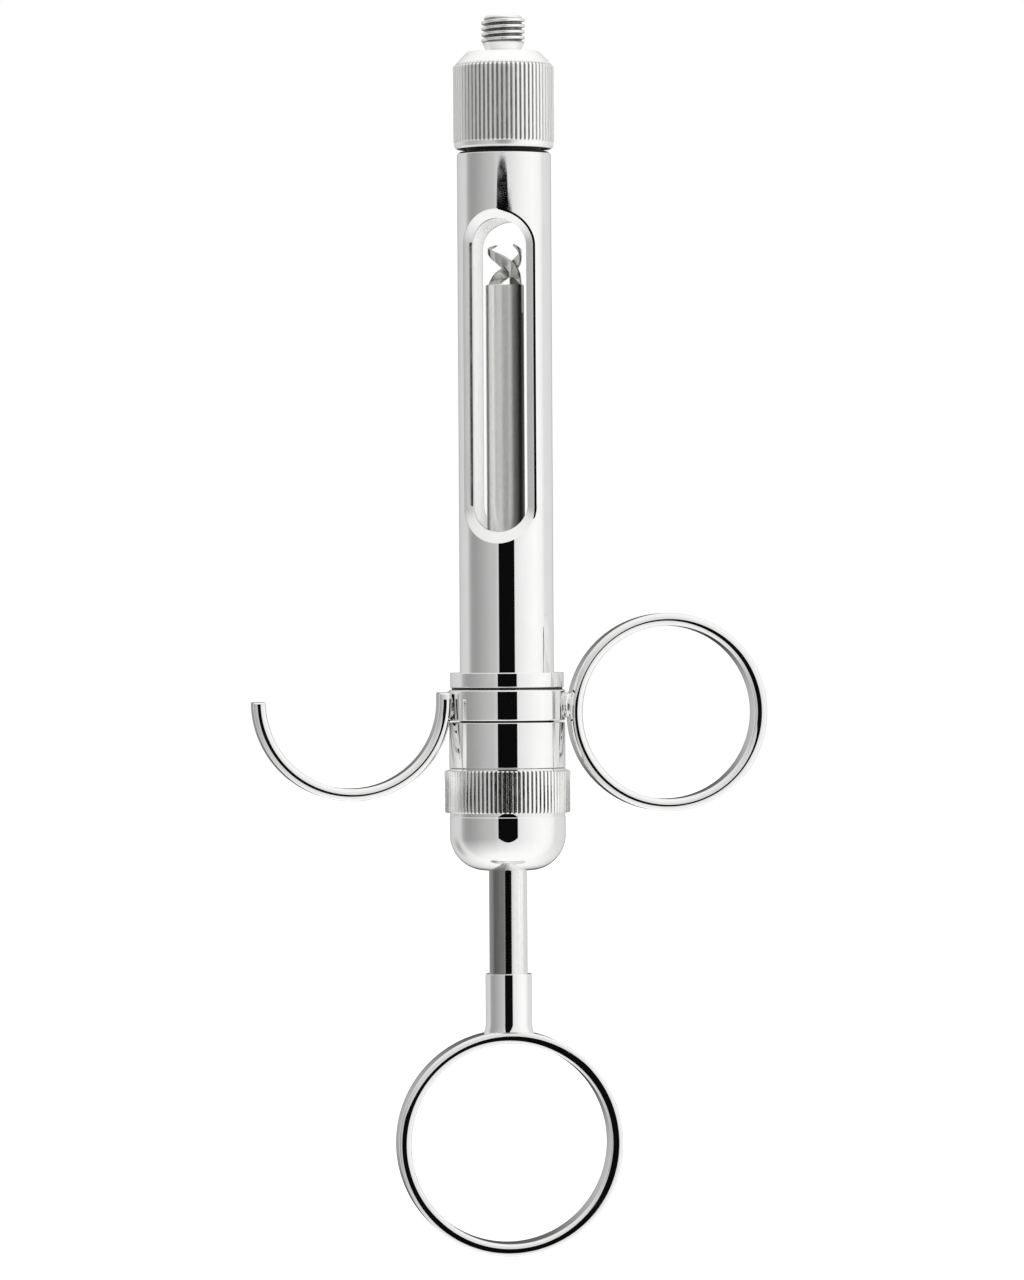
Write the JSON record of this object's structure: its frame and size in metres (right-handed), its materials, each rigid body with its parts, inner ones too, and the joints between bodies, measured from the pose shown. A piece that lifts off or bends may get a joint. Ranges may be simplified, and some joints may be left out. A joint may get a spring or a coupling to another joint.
{
  "type": "aspirating dental syringe",
  "caption": "Metal cartridge syringe with windowed barrel, swivelling ring and hook finger grip, barbed piston rod, thumb ring and screw-off nose cap and breech nut.",
  "frame": {"origin": "on the barrel's axis, at the front face of the nose cap", "axes": "+Z along the barrel towards the needle, +X from the barrel to the closed finger ring, -Y towards the viewer of the front window"},
  "size_m": [0.066, 0.016, 0.1586],
  "materials": {
    "chrome_polished": "mirror-polished plating, fine handling scratches",
    "chrome_satin": "satin plating with cut knurl",
    "steel_dull": "dull turned steel, drawn lengthways",
    "steel_spring": "bright stainless spring wire and turned inner parts",
    "ptfe": "waxy white plastic",
    "seal_rubber": "matt black rubber"
  },
  "bodies": {
    "barrel": {"barrel_tube": "chrome_polished", "barrel_flange": "chrome_polished", "lock_sleeve": "chrome_polished", "grip_washer": "steel_spring"},
    "grip": {"grip_collar": "chrome_polished", "finger_ring": "chrome_polished", "finger_hook": "chrome_polished"},
    "seat": {"cartridge_seat": "ptfe"},
    "nose": {"nose_cap": "chrome_satin", "needle_adaptor": "chrome_satin"},
    "guide": {"guide_tube": "steel_spring", "guide_clip": "steel_spring", "seal_washer": "steel_spring", "pusher_spring": "steel_spring"},
    "breech": {"breech_nut": "chrome_polished"},
    "pusher": {"cartridge_pusher": "steel_spring"},
    "seal": {"rod_seal": "seal_rubber"},
    "piston": {"piston_rod": "steel_dull", "harpoon": "steel_dull", "ring_ferrule": "chrome_polished", "thumb_ring": "chrome_polished"}
  },
  "joints": [
    {"name": "grip_swivel", "type": "hinge", "parent": "barrel", "child": "grip", "pos_m": [0, 0, -0.0835], "axis": [0, 0, 1], "continuous": true},
    {"name": "nose_travel", "type": "slide", "parent": "barrel", "child": "seat", "axis": [0, 0, 1], "range_m": [0, 0.00601]},
    {"name": "nose_turn", "type": "hinge", "parent": "seat", "child": "nose", "pos_m": [0, 0, -0.006], "axis": [0, 0, 1], "range_deg": [0, 2160]},
    {"name": "breech_travel", "type": "slide", "parent": "barrel", "child": "guide", "axis": [0, 0, -1], "range_m": [0, 0.00651]},
    {"name": "breech_turn", "type": "hinge", "parent": "guide", "child": "breech", "pos_m": [0, 0, -0.098], "axis": [0, 0, -1], "range_deg": [0, 2340]},
    {"name": "pusher_slide", "type": "slide", "parent": "guide", "child": "pusher", "axis": [0, 0, -1], "range_m": [0, 0.004], "stiffness_N_per_m": 600, "springref_m": -0.003, "deforming": ["pusher_spring"]},
    {"name": "piston_turn", "type": "hinge", "parent": "guide", "child": "seal", "pos_m": [0, 0, -0.1013], "axis": [0, 0, 1], "continuous": true},
    {"name": "piston_slide", "type": "slide", "parent": "seal", "child": "piston", "axis": [0, 0, 1], "range_m": [-0.046, 0.0131]}
  ],
  "couplings": [
    {"joint": "nose_travel", "follows": "nose_turn", "m_per_rad": 0.00015915},
    {"joint": "breech_travel", "follows": "breech_turn", "m_per_rad": 0.00015915}
  ]
}
